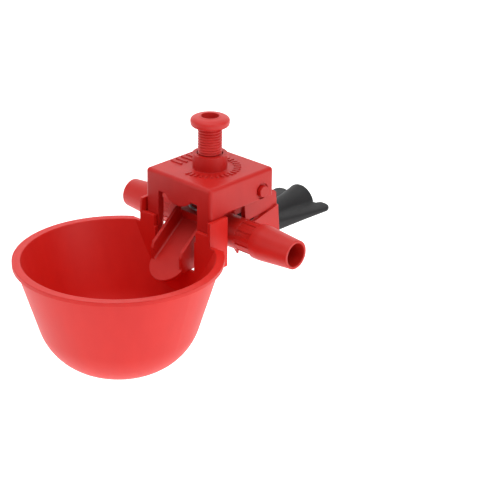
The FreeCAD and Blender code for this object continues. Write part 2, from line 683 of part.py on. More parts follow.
round_piece("valve_nozzle", [
    ("dims.nozzle_orifice / 2", f"{FLANGE_FOOT} - dims.nozzle_shank_length"),
    ("dims.nozzle_shank_diameter / 2", f"{FLANGE_FOOT} - dims.nozzle_shank_length"),
    ("dims.nozzle_shank_diameter / 2", FLANGE_FOOT),
    ("dims.nozzle_flange_diameter / 2", FLANGE_FOOT),
    ("dims.nozzle_flange_diameter / 2", f"{FLANGE_FOOT} + dims.nozzle_flange"),
    ("dims.nozzle_tip_diameter / 2 + 0.4", f"{FLANGE_FOOT} + dims.nozzle_flange"),
    ("dims.nozzle_tip_diameter / 2", f"{FLANGE_FOOT} + dims.nozzle_flange + dims.nozzle_tip"),
    ("dims.nozzle_orifice / 2", f"{FLANGE_FOOT} + dims.nozzle_flange + dims.nozzle_tip"),
])

# O-ring round the nozzle's shank, in the recess under its flange.
seal = doc.addObject("Part::Torus", "nozzle_seal")
seal.Label = "nozzle_seal"
seal.setExpression("Radius2", "dims.seal_wire / 2")
seal.setExpression("Radius1", "(dims.nozzle_shank_diameter + dims.seal_recess_diameter) / 4")
seal.setExpression("Placement.Base.y", AXIS_Y)
seal.setExpression("Placement.Base.z", "dims.seat_height - (dims.seal_recess_depth + dims.flange_sink) / 2")

# Coil spring between the valve seat and the roof of the box, round the boss's skirt.
spring = new_body("valve_spring")
wire = new_sketch(spring, "wire_section", "XZ_Plane", ("0", "0", "dims.screw_setback"))
wire.addGeometry(Part.Circle(FreeCAD.Vector(5, 10, 0), FreeCAD.Vector(0, 0, 1), 1.0))
bind(wire, "DistanceX", -1, 1, 0, 3, to="dims.spring_diameter / 2")
bind(wire, "DistanceY", -1, 1, 0, 3, to="dims.seat_height + dims.wire_diameter / 2 + dims.end_gap")
bind(wire, "Radius", 0, to="dims.wire_diameter / 2")
coil = spring.newObject("PartDesign::AdditiveHelix", "coil")
coil.Profile = wire
coil.ReferenceAxis = (wire, ["V_Axis"])
coil.Mode = "height-turns-angle"
coil.setExpression("Height", f"{ROOF_IN} - dims.seat_height - dims.wire_diameter - 2 * dims.end_gap")
coil.setExpression("Turns", "dims.spring_turns")
settle(coil)

# --- Clamp bolt through the plate, its round head in front, and the wing nut on it behind ---

bolt = new_body("clamp_bolt")
bolt_profile = outline(bolt, "bolt_profile", "YZ_Plane", [
    ("-dims.plate_thickness - dims.bolt_head_side - dims.bolt_head_dome", "0"),
    ("-dims.plate_thickness - dims.bolt_head_side - dims.bolt_head_dome", "dims.bolt_head_diameter / 5"),
    ("-dims.plate_thickness - dims.bolt_head_side", "dims.bolt_head_diameter / 2"),
    ("-dims.plate_thickness", "dims.bolt_head_diameter / 2"),
    ("-dims.plate_thickness", "dims.bolt_diameter / 2"),
    ("dims.bolt_length", "dims.bolt_diameter / 2"),
    ("dims.bolt_length", "0"),
])
spin(bolt, "bolt_turned", bolt_profile, "H_Axis")

nut = new_body("wing_nut")
nut_profile = outline(nut, "nut_profile", "YZ_Plane", [
    ("dims.nut_gap", "0"),
    ("dims.nut_gap", "dims.nut_diameter / 2"),
    ("dims.nut_waist_end", "dims.nut_diameter / 2"),
    ("dims.nut_swell_end", "dims.nut_swell_diameter / 2"),
    (f"{NUT_END} - dims.nut_end_round", "dims.nut_end_diameter / 2"),
    (NUT_END, "dims.nut_end_diameter / 2 - dims.nut_end_round"),
    (NUT_END, "0"),
])
spin(nut, "nut_tube", nut_profile, "H_Axis")
WING_END = f"({NUT_END} + dims.wing_overhang)"
wing_plan = outline(nut, "wing_plan", "XY_Plane", [
    ("dims.nut_diameter / 4", "dims.wing_start"),
    ("dims.wing_root_span", "dims.wing_start"),
    ("dims.wing_half_span", f"{WING_END} - dims.wing_tip / 2"),
    ("dims.wing_half_span", WING_END),
    ("dims.wing_half_span - dims.wing_tip", WING_END),
    ("dims.nut_end_diameter / 2", f"{NUT_END} - dims.wing_notch"),
    ("dims.nut_diameter / 4", f"{NUT_END} - dims.wing_notch"),
])
wing = pad(nut, "wing", wing_plan, "dims.wing_thickness", both_ways=True)
mirror(nut, "both_wings", [wing])
nut_bore = ring(nut, "nut_bore_circle", "XZ_Plane", "dims.bolt_diameter / 2 + dims.thread_clearance",
                ("0", "0", "-dims.nut_gap"))
pocket(nut, "nut_bore", nut_bore, "dims.nut_bore_depth")
wing_end = size("nut_gap") + size("nut_length") + size("wing_overhang")
fillet(nut, "wing_rounds", "dims.wing_round", lambda middle, along: (
    abs(along.z) > 0.9 and near(middle.y, wing_end) and abs(middle.x) > 1))

# --- Bowl: a turned shell cut flat at the rear, with a chute cutout and two leg sockets ---

outside = new_body("bowl_outside")
outside_profile = outline(outside, "outside_profile", "XZ_Plane", [
    ("0", BOWL_FOOT),
    ("dims.bowl_foot_diameter / 2", BOWL_FOOT),
    ("dims.bowl_top_diameter / 2", RIM_FOOT),
    ("dims.rim_diameter / 2", RIM_FOOT),
    ("dims.rim_diameter / 2", "dims.rim_height"),
    ("0", "dims.rim_height"),
], ("0", "0", "dims.bowl_setback"))
spin(outside, "outside_turned", outside_profile, "V_Axis")
bowl_floor = size("rim_height") - size("bowl_depth")
fillet(outside, "outside_round", "dims.bowl_round", lambda middle, along: (
    near(middle.z, bowl_floor) and abs(along.z) < 0.01))
beyond = box_outline(outside, "behind_plan", "XY_Plane",
                     ("-dims.rim_diameter", BACK_Y), ("dims.rim_diameter", "0"),
                     ("0", "0", "dims.rim_height"))
pocket(outside, "flat_back", beyond, "dims.bowl_depth")

tab_plan = box_outline(outside, "tab_plan", "XY_Plane",
                       ("dims.cutout_width / 2 + 0.6", BACK_IN_Y), (SOCKET_OUT_X, BACK_Y),
                       ("0", "0", RIM_FOOT))
tab = pad(outside, "tab", tab_plan, "dims.rim_thickness + dims.tab_rise")
side_plan = box_outline(outside, "socket_side_plan", "XY_Plane",
                        (SOCKET_X, BACK_IN_Y), (SOCKET_OUT_X, SOCKET_OUT_Y),
                        ("0", "0", f"{LEG_FOOT} - dims.leg_clearance - dims.socket_wall"))
socket_side = pad(
    outside, "socket_side", side_plan,
    f"dims.rim_height + dims.socket_rise - ({LEG_FOOT} - dims.leg_clearance - dims.socket_wall)",
)
lip_plan = box_outline(outside, "socket_lip_plan", "XY_Plane",
                       (f"{BOX_X} - dims.socket_lip", SOCKET_REAR_Y), (SOCKET_OUT_X, SOCKET_OUT_Y),
                       ("0", "0", f"{LEG_FOOT} - dims.leg_clearance - dims.socket_wall"))
socket_lip = pad(
    outside, "socket_lip", lip_plan,
    f"dims.rim_height + dims.socket_rise - dims.socket_lip_drop"
    f" - ({LEG_FOOT} - dims.leg_clearance - dims.socket_wall)",
)
floor_plan = box_outline(outside, "socket_floor_plan", "XY_Plane",
                         ("dims.cutout_width / 2 + 0.6", BACK_IN_Y), (SOCKET_OUT_X, SOCKET_OUT_Y),
                         ("0", "0", f"{LEG_FOOT} - dims.leg_clearance - dims.socket_wall"))
socket_floor = pad(outside, "socket_floor", floor_plan, "dims.socket_wall")
mirror(outside, "both_sockets", [tab, socket_side, socket_lip, socket_floor])
cutout = box_outline(outside, "cutout_face", "XZ_Plane",
                     ("-dims.cutout_width / 2", "dims.rim_height - dims.cutout_drop"),
                     ("dims.cutout_width / 2", "dims.rim_height"),
                     ("0", "0", f"-{BACK_IN_Y} + 1"))
pocket(outside, "chute_cutout", cutout, "dims.bowl_rear_wall + 1")

inside = new_body("bowl_inside")
INNER_FOOT = f"({BOWL_FOOT} + dims.bowl_wall)"
INNER_TOP_R = "(dims.bowl_top_diameter / 2 - dims.bowl_wall)"
INNER_FOOT_R = "(dims.bowl_foot_diameter / 2 - dims.bowl_wall * 0.75)"
inside_profile = outline(inside, "inside_profile", "XZ_Plane", [
    ("0", INNER_FOOT),
    (INNER_FOOT_R, INNER_FOOT),
    (INNER_TOP_R, "dims.rim_height"),
    ("0", "dims.rim_height"),
], ("0", "0", "dims.bowl_setback"))
spin(inside, "inside_turned", inside_profile, "V_Axis")
inner_floor = bowl_floor + size("bowl_wall")
fillet(inside, "inside_round", "dims.bowl_round - dims.bowl_wall", lambda middle, along: (
    near(middle.z, inner_floor) and abs(along.z) < 0.01))
above = ring(inside, "above_circle", "XY_Plane", INNER_TOP_R,
             ("0", "-dims.bowl_setback", "dims.rim_height"))
pad(inside, "above_rim", above, "dims.tab_rise + 1")
inner_back = box_outline(inside, "inner_back_plan", "XY_Plane",
                         ("-dims.rim_diameter", BACK_IN_Y), ("dims.rim_diameter", "0"),
                         ("0", "0", "dims.rim_height + dims.tab_rise + 1"))
pocket(inside, "inner_back", inner_back, "dims.bowl_depth + dims.tab_rise + 1")
mark = ring(inside, "mark_circle", "XY_Plane", "dims.bowl_mark_diameter / 2",
            ("0", "-dims.bowl_setback", f"{INNER_FOOT} + dims.bowl_mark_height"))
pocket(inside, "mark_ring", mark, "dims.bowl_mark_height")
mark_core = ring(inside, "mark_core_circle", "XY_Plane", "dims.bowl_mark_bore / 2",
                 ("0", "-dims.bowl_setback", INNER_FOOT))
pad(inside, "mark_core", mark_core, "dims.bowl_mark_height")

bowl = doc.addObject("Part::Cut", "bowl")
bowl.Label = "bowl"
bowl.Base = outside
bowl.Tool = inside

# With no water in the bowl the hanging pieces rest turned up about the pivot, and the valve is open.
for hung in (frame, bowl, screw, plunger, valve_pad):
    hung.setExpression("Placement.Rotation.Axis.x", "1")
    hung.setExpression("Placement.Rotation.Axis.y", "0")
    hung.setExpression("Placement.Rotation.Axis.z", "0")
    hung.setExpression("Placement.Rotation.Angle", "-dims.rest_lift")
    hung.setExpression("Placement.Base.y", f"{PIVOT_Y} * (1 - cos(dims.rest_lift))"
                                           f" - dims.pivot_height * sin(dims.rest_lift)")
    hung.setExpression("Placement.Base.z", f"dims.pivot_height * (1 - cos(dims.rest_lift))"
                                           f" + {PIVOT_Y} * sin(dims.rest_lift)")
doc.recompute()

NODES = [
    "tee_bracket", "hanger_frame", "bowl", "adjusting_screw", "wing_nut", "clamp_bolt",
    "valve_nozzle", "nozzle_seal", "plunger", "valve_pad", "valve_spring",
]

for item in doc.Objects:
    if "Invalid" in item.State or "Error" in item.State:
        raise RuntimeError(f"{item.Name} is not valid")
for node in NODES:
    shape = doc.getObject(node).Shape
    if shape.isNull() or not shape.isValid():
        raise RuntimeError(f"{node} has no valid shape")

os.makedirs("parts", exist_ok=True)
for node in NODES:
    piece = doc.getObject(node)
    piece.Shape.exportStep(f"parts/{piece.Label}.step")
    box = piece.Shape.BoundBox
    print(f"{piece.Label}: {len(piece.Shape.Solids)} solid, {piece.Shape.Volume:.1f} mm3, "
          f"X {box.XMin:.1f} {box.XMax:.1f}  Y {box.YMin:.1f} {box.YMax:.1f}  "
          f"Z {box.ZMin:.1f} {box.ZMax:.1f}")
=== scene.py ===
import json
import math

import bmesh
import bpy
import numpy as np
from mathutils import Matrix, Vector


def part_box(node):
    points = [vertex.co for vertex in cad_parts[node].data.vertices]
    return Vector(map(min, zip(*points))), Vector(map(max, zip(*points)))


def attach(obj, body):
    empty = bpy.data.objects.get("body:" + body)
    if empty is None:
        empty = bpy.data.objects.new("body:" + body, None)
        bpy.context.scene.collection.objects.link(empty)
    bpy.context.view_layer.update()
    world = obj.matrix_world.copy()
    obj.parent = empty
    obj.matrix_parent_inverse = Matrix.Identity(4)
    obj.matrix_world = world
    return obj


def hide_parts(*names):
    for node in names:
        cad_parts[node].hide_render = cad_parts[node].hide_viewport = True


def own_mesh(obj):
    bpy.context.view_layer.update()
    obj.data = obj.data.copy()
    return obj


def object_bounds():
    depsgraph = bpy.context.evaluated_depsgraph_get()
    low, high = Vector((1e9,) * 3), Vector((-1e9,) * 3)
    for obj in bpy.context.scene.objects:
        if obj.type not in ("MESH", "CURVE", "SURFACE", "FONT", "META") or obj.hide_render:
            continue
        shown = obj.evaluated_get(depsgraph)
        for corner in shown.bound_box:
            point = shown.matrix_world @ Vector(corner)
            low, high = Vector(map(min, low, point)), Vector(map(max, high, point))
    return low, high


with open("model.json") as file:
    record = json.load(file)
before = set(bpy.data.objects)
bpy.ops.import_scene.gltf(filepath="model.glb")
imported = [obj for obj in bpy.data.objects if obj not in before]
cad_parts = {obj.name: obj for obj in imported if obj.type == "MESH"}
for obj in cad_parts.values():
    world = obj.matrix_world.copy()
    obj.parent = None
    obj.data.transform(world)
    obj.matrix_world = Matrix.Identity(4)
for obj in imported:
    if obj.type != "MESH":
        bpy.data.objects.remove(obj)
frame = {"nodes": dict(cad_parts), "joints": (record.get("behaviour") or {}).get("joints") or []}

cad_box = [list(corner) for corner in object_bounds()]
MM = 0.001

# --- Studio ---------------------------------------------------------------------------------------
# A white sweep below the drinker, which hangs from its clamp, with a large soft box overhead and a
# smaller one at each side.  The camera looks down into the bowl.

FLOOR_DROP = 0.045
lowest = cad_box[0][2]


def sweep(u, v):
    """Floor that runs back level and then turns up: a line, a quarter circle, a line, along v."""
    reach, radius, width = 0.9, 0.6, 3.2
    arc = radius * math.pi / 2
    turn = np.clip((v - reach) / radius, 0, math.pi / 2)
    back = np.minimum(v, reach) + radius * np.sin(turn)
    up = radius * (1 - np.cos(turn)) + np.maximum(v - reach - arc, 0)
    return np.stack([u * width, back, up], -1)


def grid_mesh(name, points, close_columns=False):
    """Mesh of quads over a grid of points; the last column may join the first."""
    rows, columns = points.shape[:2]
    index = np.arange(rows * columns).reshape(rows, columns)
    if close_columns:
        index = np.hstack([index, index[:, :1]])
    quads = np.stack([index[:-1, :-1], index[1:, :-1], index[1:, 1:], index[:-1, 1:]], -1)
    mesh = bpy.data.meshes.new(name)
    mesh.from_pydata(points.reshape(-1, 3).tolist(), [], quads.reshape(-1, 4).tolist())
    shell = bmesh.new()
    shell.from_mesh(mesh)
    bmesh.ops.remove_doubles(shell, verts=shell.verts, dist=1e-7)
    bmesh.ops.recalc_face_normals(shell, faces=shell.faces)
    shell.to_mesh(mesh)
    shell.free()
    mesh.shade_smooth()
    return mesh


def place(name, mesh, finish):
    """Object at the origin that shows a mesh with one finish."""
    piece = bpy.data.objects.new(name, mesh)
    bpy.context.scene.collection.objects.link(piece)
    mesh.materials.append(finish)
    return piece


class Value:
    """Socket of a shader tree; an expression on values adds its Math nodes."""

    def __init__(self, finish, socket):
        self.finish = finish
        self.socket = socket

    def math(self, operation, *terms):
        sockets = dict(enumerate(terms))
        return self.finish.add("ShaderNodeMath", {"operation": operation}, sockets)

    def __add__(self, other):
        return self.math("ADD", self, other)

    def __sub__(self, other):
        return self.math("SUBTRACT", self, other)

    def __rsub__(self, other):
        return self.math("SUBTRACT", other, self)

    def __mul__(self, other):
        return self.math("MULTIPLY", self, other)

    __radd__ = __add__
    __rmul__ = __mul__


class Finish:
    """One material and its node tree."""

    def __init__(self, name):
        self.material = bpy.data.materials.new(name)
        self.material.use_nodes = True
        self.tree = self.material.node_tree
        self.tree.nodes.clear()

    def add(self, kind, settings=None, sockets=None, output=0):
        """Node of a type: its settings are set first, then its sockets get values or links."""
        node = self.tree.nodes.new(kind)
        for name, setting in (settings or {}).items():
            setattr(node, name, setting)
        for name, given in (sockets or {}).items():
            if isinstance(given, Value):
                self.tree.links.new(given.socket, node.inputs[name])
            else:
                node.inputs[name].default_value = given
        return Value(self, node.outputs[output]) if len(node.outputs) else None

    def noise(self, coordinates, scale, detail):
        """Noise texture's factor; a larger scale gives finer grain."""
        sockets = {"Vector": coordinates, "Scale": scale, "Detail": detail, "Roughness": 0.55}
        return self.add("ShaderNodeTexNoise", {}, sockets)

    def blend(self, factor, first, second):
        """Mix of two colours."""
        sockets = {0: factor, 6: first, 7: second}
        return self.add("ShaderNodeMix", {"data_type": "RGBA"}, sockets, 2)

    def surface(self, sockets):
        """Principled shader at the output."""
        self.add("ShaderNodeOutputMaterial", {}, {
            "Surface": self.add("ShaderNodeBsdfPrincipled", {}, sockets)})
        return self.material


paper = Finish("studio_paper")
paper_place = paper.add("ShaderNodeTexCoord", {}, {}, 3)
paper_tone = paper.noise(paper_place, 3.0, 2.0)
paper_white = paper.surface({
    "Base Color": paper.blend(paper_tone, (0.90, 0.90, 0.90, 1), (0.93, 0.93, 0.93, 1)),
    "Roughness": 0.9,
    "Specular IOR Level": 0.1,
    "Emission Color": (1.0, 1.0, 1.0, 1),
    "Emission Strength": 0.66,
})
across = np.linspace(-1, 1, 3)
along_floor = np.linspace(-2.4, 3.6, 61)
floor_grid = sweep(*np.meshgrid(across, along_floor)) + np.array([0, 0, lowest - FLOOR_DROP])
AZIMUTH = math.radians(44.185)
floor_mesh = grid_mesh("studio_floor", floor_grid)
floor_mesh.transform(Matrix.Rotation(AZIMUTH, 4, "Z"))
floor = place("studio_floor", floor_mesh, paper_white)

world = bpy.data.worlds.new("studio")
bpy.context.scene.world = world
world.use_nodes = True
world.node_tree.nodes["Background"].inputs["Color"].default_value = (1.0, 1.0, 1.0, 1)
world.node_tree.nodes["Background"].inputs["Strength"].default_value = 0.17


def soft_box(name, where, aim, width, height, watts):
    """Area light at a point that faces another."""
    light = bpy.data.lights.new(name, "AREA")
    light.shape = "RECTANGLE"
    light.size = width
    light.size_y = height
    light.energy = watts
    lamp = bpy.data.objects.new(name, light)
    bpy.context.scene.collection.objects.link(lamp)
    lamp.location = where
    lamp.rotation_euler = (Vector(aim) - Vector(where)).to_track_quat("-Z", "Y").to_euler()


middle = (Vector(cad_box[0]) + Vector(cad_box[1])) / 2
soft_box("overhead", (0.05, -0.10, 0.75), middle, 0.9, 0.9, 4.9)
soft_box("left_front", (-0.55, -0.70, 0.35), middle, 0.6, 0.6, 1.2)
soft_box("right_side", (0.80, 0.05, 0.30), middle, 0.5, 0.7, 2.0)

ELEVATION = math.radians(27.782)
ROLL = math.radians(-2.955)
CAMERA_REACH = 0.6470
aim = Vector((0.0166, -0.0183, 0.0033))
turn = (Matrix.Rotation(AZIMUTH, 4, "Z") @ Matrix.Rotation(math.pi / 2 - ELEVATION, 4, "X")
        @ Matrix.Rotation(ROLL, 4, "Z"))
lens = bpy.data.cameras.new("camera")
lens.lens = 134.68
lens.sensor_width = 36
lens.clip_start = 0.01
camera = bpy.data.objects.new("camera", lens)
bpy.context.scene.collection.objects.link(camera)
camera.matrix_world = Matrix.Translation(aim) @ turn @ Matrix.Translation((0, 0, CAMERA_REACH))
bpy.context.scene.camera = camera
bpy.context.scene.view_settings.view_transform = "Standard"

# --- Red mouldings: tee bracket, hanger frame and bowl --------------------------------------------
# Injection-moulded polypropylene in one red batch, semi-gloss.  The tool leaves a fine satin grain,
# faint flow marks where the melt ran, and small radii on every edge.


def red_plastic(name, deep, pale, roughness, grain, edge_radius, flow):
    """Red polypropylene: two reds mixed by soft cloudy flow marks, satin grain, eased edges."""
    finish = Finish(name)
    coordinates = finish.add("ShaderNodeTexCoord", {}, {}, 3)
    stretched = finish.add("ShaderNodeMapping", {}, {"Vector": coordinates, "Scale": flow})
    clouds = finish.noise(stretched, 42.0, 3.0)
    streaks = finish.noise(stretched, 230.0, 2.0)
    satin = finish.noise(coordinates, 1500.0, 2.0)
    ripple = finish.noise(coordinates, 160.0, 1.0)
    tone = finish.add("ShaderNodeMapRange", {}, {
        "Value": clouds * 0.7 + streaks * 0.3, "From Min": 0.35, "From Max": 0.65})
    eased = finish.add("ShaderNodeBevel", {"samples": 6}, {"Radius": edge_radius})
    uneven = finish.add("ShaderNodeBump", {}, {
        "Height": satin * 0.35 + ripple, "Strength": grain, "Distance": 0.00012, "Normal": eased})
    return finish.surface({
        "Base Color": finish.blend(tone, deep, pale),
        "Roughness": roughness + clouds * 0.10 + satin * 0.06,
        "Normal": uneven,
        "IOR": 1.42,
        "Subsurface Weight": 0.12,
        "Subsurface Radius": (0.9, 0.05, 0.03),
        "Subsurface Scale": 0.0012,
    })


def dress(node, finish):
    """Gives a carried-over node its finish."""
    mesh = frame["nodes"][node].data
    mesh.materials.clear()
    mesh.materials.append(finish)


dress("tee_bracket", red_plastic(
    "red_bracket_plastic", (0.54, 0.009, 0.006, 1), (0.60, 0.016, 0.011, 1),
    0.34, 0.16, 0.00035, (0.5, 1, 1)))
dress("hanger_frame", red_plastic(
    "red_frame_plastic", (0.52, 0.007, 0.005, 1), (0.58, 0.013, 0.009, 1),
    0.36, 0.16, 0.00035, (1, 1, 0.5)))
dress("bowl", red_plastic(
    "red_bowl_plastic", (0.66, 0.010, 0.006, 1), (0.72, 0.016, 0.010, 1), 0.38, 0.12, 0.00045, (1, 1, 0.35)))

# --- Valve parts: nozzle, plunger, pad and seal ---------------------------------------------------
# Small round parts under the box: white acetal for the water seat and for the foot that the screw
# presses, a grey silicone pad and a black rubber ring.


def small_moulding(name, dark, light, roughness, grain_scale, grain):
    """Plain moulded or rubber surface with fine grain and slightly uneven tone."""
    finish = Finish(name)
    coordinates = finish.add("ShaderNodeTexCoord", {}, {}, 3)
    fine = finish.noise(coordinates, grain_scale, 3.0)
    broad = finish.noise(coordinates, 120.0, 2.0)
    uneven = finish.add("ShaderNodeBump", {}, {"Height": fine, "Strength": grain, "Distance": 0.0001})
    return finish.surface({
        "Base Color": finish.blend(broad, dark, light),
        "Roughness": roughness + fine * 0.12,
        "Normal": uneven,
    })


acetal = small_moulding("white_acetal", (0.74, 0.73, 0.69, 1), (0.84, 0.83, 0.80, 1), 0.30, 1800.0, 0.12)
dress("valve_nozzle", acetal)
dress("plunger", acetal)
dress("valve_pad", small_moulding(
    "grey_rubber", (0.20, 0.20, 0.21, 1), (0.27, 0.27, 0.28, 1), 0.55, 2400.0, 0.3))
dress("nozzle_seal", small_moulding(
    "black_rubber", (0.012, 0.012, 0.012, 1), (0.022, 0.022, 0.022, 1), 0.42, 2400.0, 0.2))

# --- Adjusting screw ------------------------------------------------------------------------------
# One red polypropylene moulding: a rounded thread under a thick domed head, with a blind hole in
# the middle of the head and a short plain tip that bears on the plunger.  It turns in the boss.

screw_joint = next(j for j in frame["joints"] if j["name"] == "screw_turn")
SCREW_UP = np.array(screw_joint["axis"], float)
SCREW_UP /= np.linalg.norm(SCREW_UP)
SCREW_SIDE = np.array([1.0, 0.0, 0.0])
SCREW_FRONT = np.cross(SCREW_UP, SCREW_SIDE)
SCREW_FOOT = np.array(screw_joint["pos_m"], float)


def reach(node, direction):
    """Lowest and highest place of a node's surface along a direction."""
    mesh = frame["nodes"][node].data
    corners = np.zeros(len(mesh.vertices) * 3, np.float32)
    mesh.vertices.foreach_get("co", corners)
    places = corners.reshape(-1, 3).astype(float) @ direction
    return places.min(), places.max()


def eased_profile(corners, radii, steps=6):
    """Profile through corner points, each corner replaced by a parabola arc of about its radius."""
    corners = np.array(corners, float)
    pieces = [corners[:1]]
    ramp = np.linspace(0, 1, steps)[:, None]
    for before, here, after, radius in zip(corners[:-2], corners[1:-1], corners[2:], radii):
        back, ahead = before - here, after - here
        start = here + back * min(radius / np.linalg.norm(back), 0.48)
        end = here + ahead * min(radius / np.linalg.norm(ahead), 0.48)
        pieces.append((1 - ramp) ** 2 * start + 2 * ramp * (1 - ramp) * here + ramp ** 2 * end)
    pieces.append(corners[-1:])
    return np.vstack(pieces)


def turned(profile, centre, axis, side, count):
    """Surface of revolution: profile of (radius, height) points carried round an axis."""
    front = np.cross(axis, side)
    angle = np.linspace(0, 2 * math.pi, count, endpoint=False)
    spoke = np.cos(angle)[:, None] * side + np.sin(angle)[:, None] * front
    radius = profile[:, 0][:, None, None]
    height = profile[:, 1][:, None, None]
    return centre + radius * spoke[None] + height * axis


def threaded(start, end, outer, depth, pitch, centre, axis, side, count, rows_per_turn=16):
    """Threaded cylinder: the radius falls from outer by depth times a rounded ridge in
    height / pitch - angle / turn; the ridge fades in and out over half a turn at both ends."""
    front = np.cross(axis, side)
    rows = int(abs(end - start) / pitch * rows_per_turn)
    height = np.linspace(start, end, rows)[:, None]
    angle = np.linspace(0, 2 * math.pi, count, endpoint=False)[None, :]
    phase = (height / pitch - angle / (2 * math.pi)) % 1.0
    ridge = np.clip(1.25 * (1 - np.abs(2 * phase - 1)) - 0.02, 0, 1)
    ridge = ridge * ridge * (3 - 2 * ridge)
    fade = np.clip(np.minimum(np.abs(height - start), np.abs(height - end)) / (pitch / 2), 0, 1)
    radius = outer - depth * (1 - ridge * fade)
    spoke = np.cos(angle)[..., None] * side + np.sin(angle)[..., None] * front
    return centre + radius[..., None] * spoke + height[..., None] * axis


foot_along = SCREW_FOOT @ SCREW_UP
screw_low, screw_high = (end - foot_along for end in reach("adjusting_screw", SCREW_UP))
THREAD_RADIUS = 4.2 * MM
THREAD_DEPTH = 0.42 * MM
THREAD_PITCH = 1.0 * MM
THREAD_RUNOUT = 0.2 * MM
HEAD_RADIUS = 6.9 * MM
HEAD_HEIGHT = 4.1 * MM
TIP_LENGTH = 1.8 * MM
TIP_RADIUS = 1.9 * MM
DRIVE_RADIUS = 3.1 * MM
DRIVE_DEPTH = 6.0 * MM
head_foot = screw_high - HEAD_HEIGHT
shank_foot = screw_low + TIP_LENGTH
core = THREAD_RADIUS - THREAD_DEPTH
SCREW_SPOKES = 96
lower = turned(eased_profile(
    [(0, screw_low), (TIP_RADIUS, screw_low), (TIP_RADIUS, shank_foot), (core, shank_foot)],
    [0.3 * MM, 0.1 * MM]), SCREW_FOOT, SCREW_UP, SCREW_SIDE, SCREW_SPOKES)
shank = threaded(shank_foot, head_foot - THREAD_RUNOUT, THREAD_RADIUS, THREAD_DEPTH, THREAD_PITCH,
                 SCREW_FOOT, SCREW_UP, SCREW_SIDE, SCREW_SPOKES)
head = turned(eased_profile([
    (core, head_foot - THREAD_RUNOUT),
    (core, head_foot),
    (HEAD_RADIUS - 0.25 * MM, head_foot + 0.8 * MM),
    (HEAD_RADIUS, head_foot + 3.0 * MM),
    (HEAD_RADIUS - 1.3 * MM, head_foot + 3.75 * MM),
    (DRIVE_RADIUS + 0.9 * MM, head_foot + 3.95 * MM),
    (DRIVE_RADIUS + 0.45 * MM, screw_high),
    (DRIVE_RADIUS, screw_high),
    (DRIVE_RADIUS - 0.1 * MM, screw_high - DRIVE_DEPTH),
    (0, screw_high - DRIVE_DEPTH),
], [0.2 * MM, 0.6 * MM, 0.9 * MM, 0.8 * MM, 0.3 * MM, 0.15 * MM, 0.25 * MM, 0.5 * MM]),
    SCREW_FOOT, SCREW_UP, SCREW_SIDE, SCREW_SPOKES)
screw_red = red_plastic(
    "red_screw_plastic", (0.60, 0.018, 0.015, 1), (0.66, 0.028, 0.024, 1),
    0.34, 0.12, 0.0001, (1, 1, 0.5))
screw = place("adjusting_screw_moulding",
              grid_mesh("adjusting_screw_moulding", np.vstack([lower, shank, head]), close_columns=True),
              screw_red)
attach(screw, "screw")
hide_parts("adjusting_screw")

# --- Clamp bolt -----------------------------------------------------------------------------------
# Black nylon bolt: a shallow domed head in front of the plate and a coarse threaded shank that
# stands out behind it for the wing nut.

BOLT_BACK = np.array([0.0, 1.0, 0.0])
BOLT_SIDE = np.array([1.0, 0.0, 0.0])
bolt_front, bolt_end = reach("clamp_bolt", BOLT_BACK)
BOLT_RADIUS = 3.0 * MM
BOLT_HEAD_RADIUS = 6.0 * MM
BOLT_HEAD_HEIGHT = 2.8 * MM
plate_face = bolt_front + BOLT_HEAD_HEIGHT
plate_back = 0.0
BOLT_THREAD_DEPTH = 0.5 * MM
BOLT_PITCH = 1.5 * MM
BOLT_CHAMFER = 0.5 * MM
BOLT_RUNOUT = 0.4 * MM
BOLT_SPOKES = 72
BOLT_CORE = BOLT_RADIUS - BOLT_THREAD_DEPTH
BOLT_FOOT = np.zeros(3)
bolt_head = turned(eased_profile([
    (0, bolt_front),
    (2.4 * MM, bolt_front),
    (BOLT_HEAD_RADIUS, bolt_front + 0.9 * MM),
    (BOLT_HEAD_RADIUS, plate_face),
    (BOLT_RADIUS, plate_face),
    (BOLT_RADIUS, plate_back),
    (BOLT_CORE, plate_back + BOLT_RUNOUT),
], [1.6 * MM, 0.6 * MM, 0.15 * MM, 0.1 * MM, 0.1 * MM]),
    BOLT_FOOT, BOLT_BACK, BOLT_SIDE, BOLT_SPOKES)
bolt_shank = threaded(plate_back + BOLT_RUNOUT, bolt_end - BOLT_CHAMFER, BOLT_RADIUS,
                      BOLT_THREAD_DEPTH, BOLT_PITCH, BOLT_FOOT, BOLT_BACK, BOLT_SIDE, BOLT_SPOKES)
bolt_tip = turned(np.array([
    (BOLT_CORE, bolt_end - BOLT_CHAMFER),
    (BOLT_CORE - 0.4 * MM, bolt_end),
    (0, bolt_end),
]), BOLT_FOOT, BOLT_BACK, BOLT_SIDE, BOLT_SPOKES)
nylon = small_moulding(
    "black_nylon", (0.005, 0.005, 0.006, 1), (0.011, 0.011, 0.012, 1), 0.52, 900.0, 0.25)
bolt_grid = np.vstack([bolt_head, bolt_shank, bolt_tip])
bolt = place("clamp_bolt_moulding",
             grid_mesh("clamp_bolt_moulding", bolt_grid, close_columns=True), nylon)
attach(bolt, "bracket")
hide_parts("clamp_bolt")

# --- Wing nut -------------------------------------------------------------------------------------
# Black nylon: a long tube that flares at its outer end, and two broad wings that widen outwards,
# thick where they leave the tube and thin at their rounded tips.

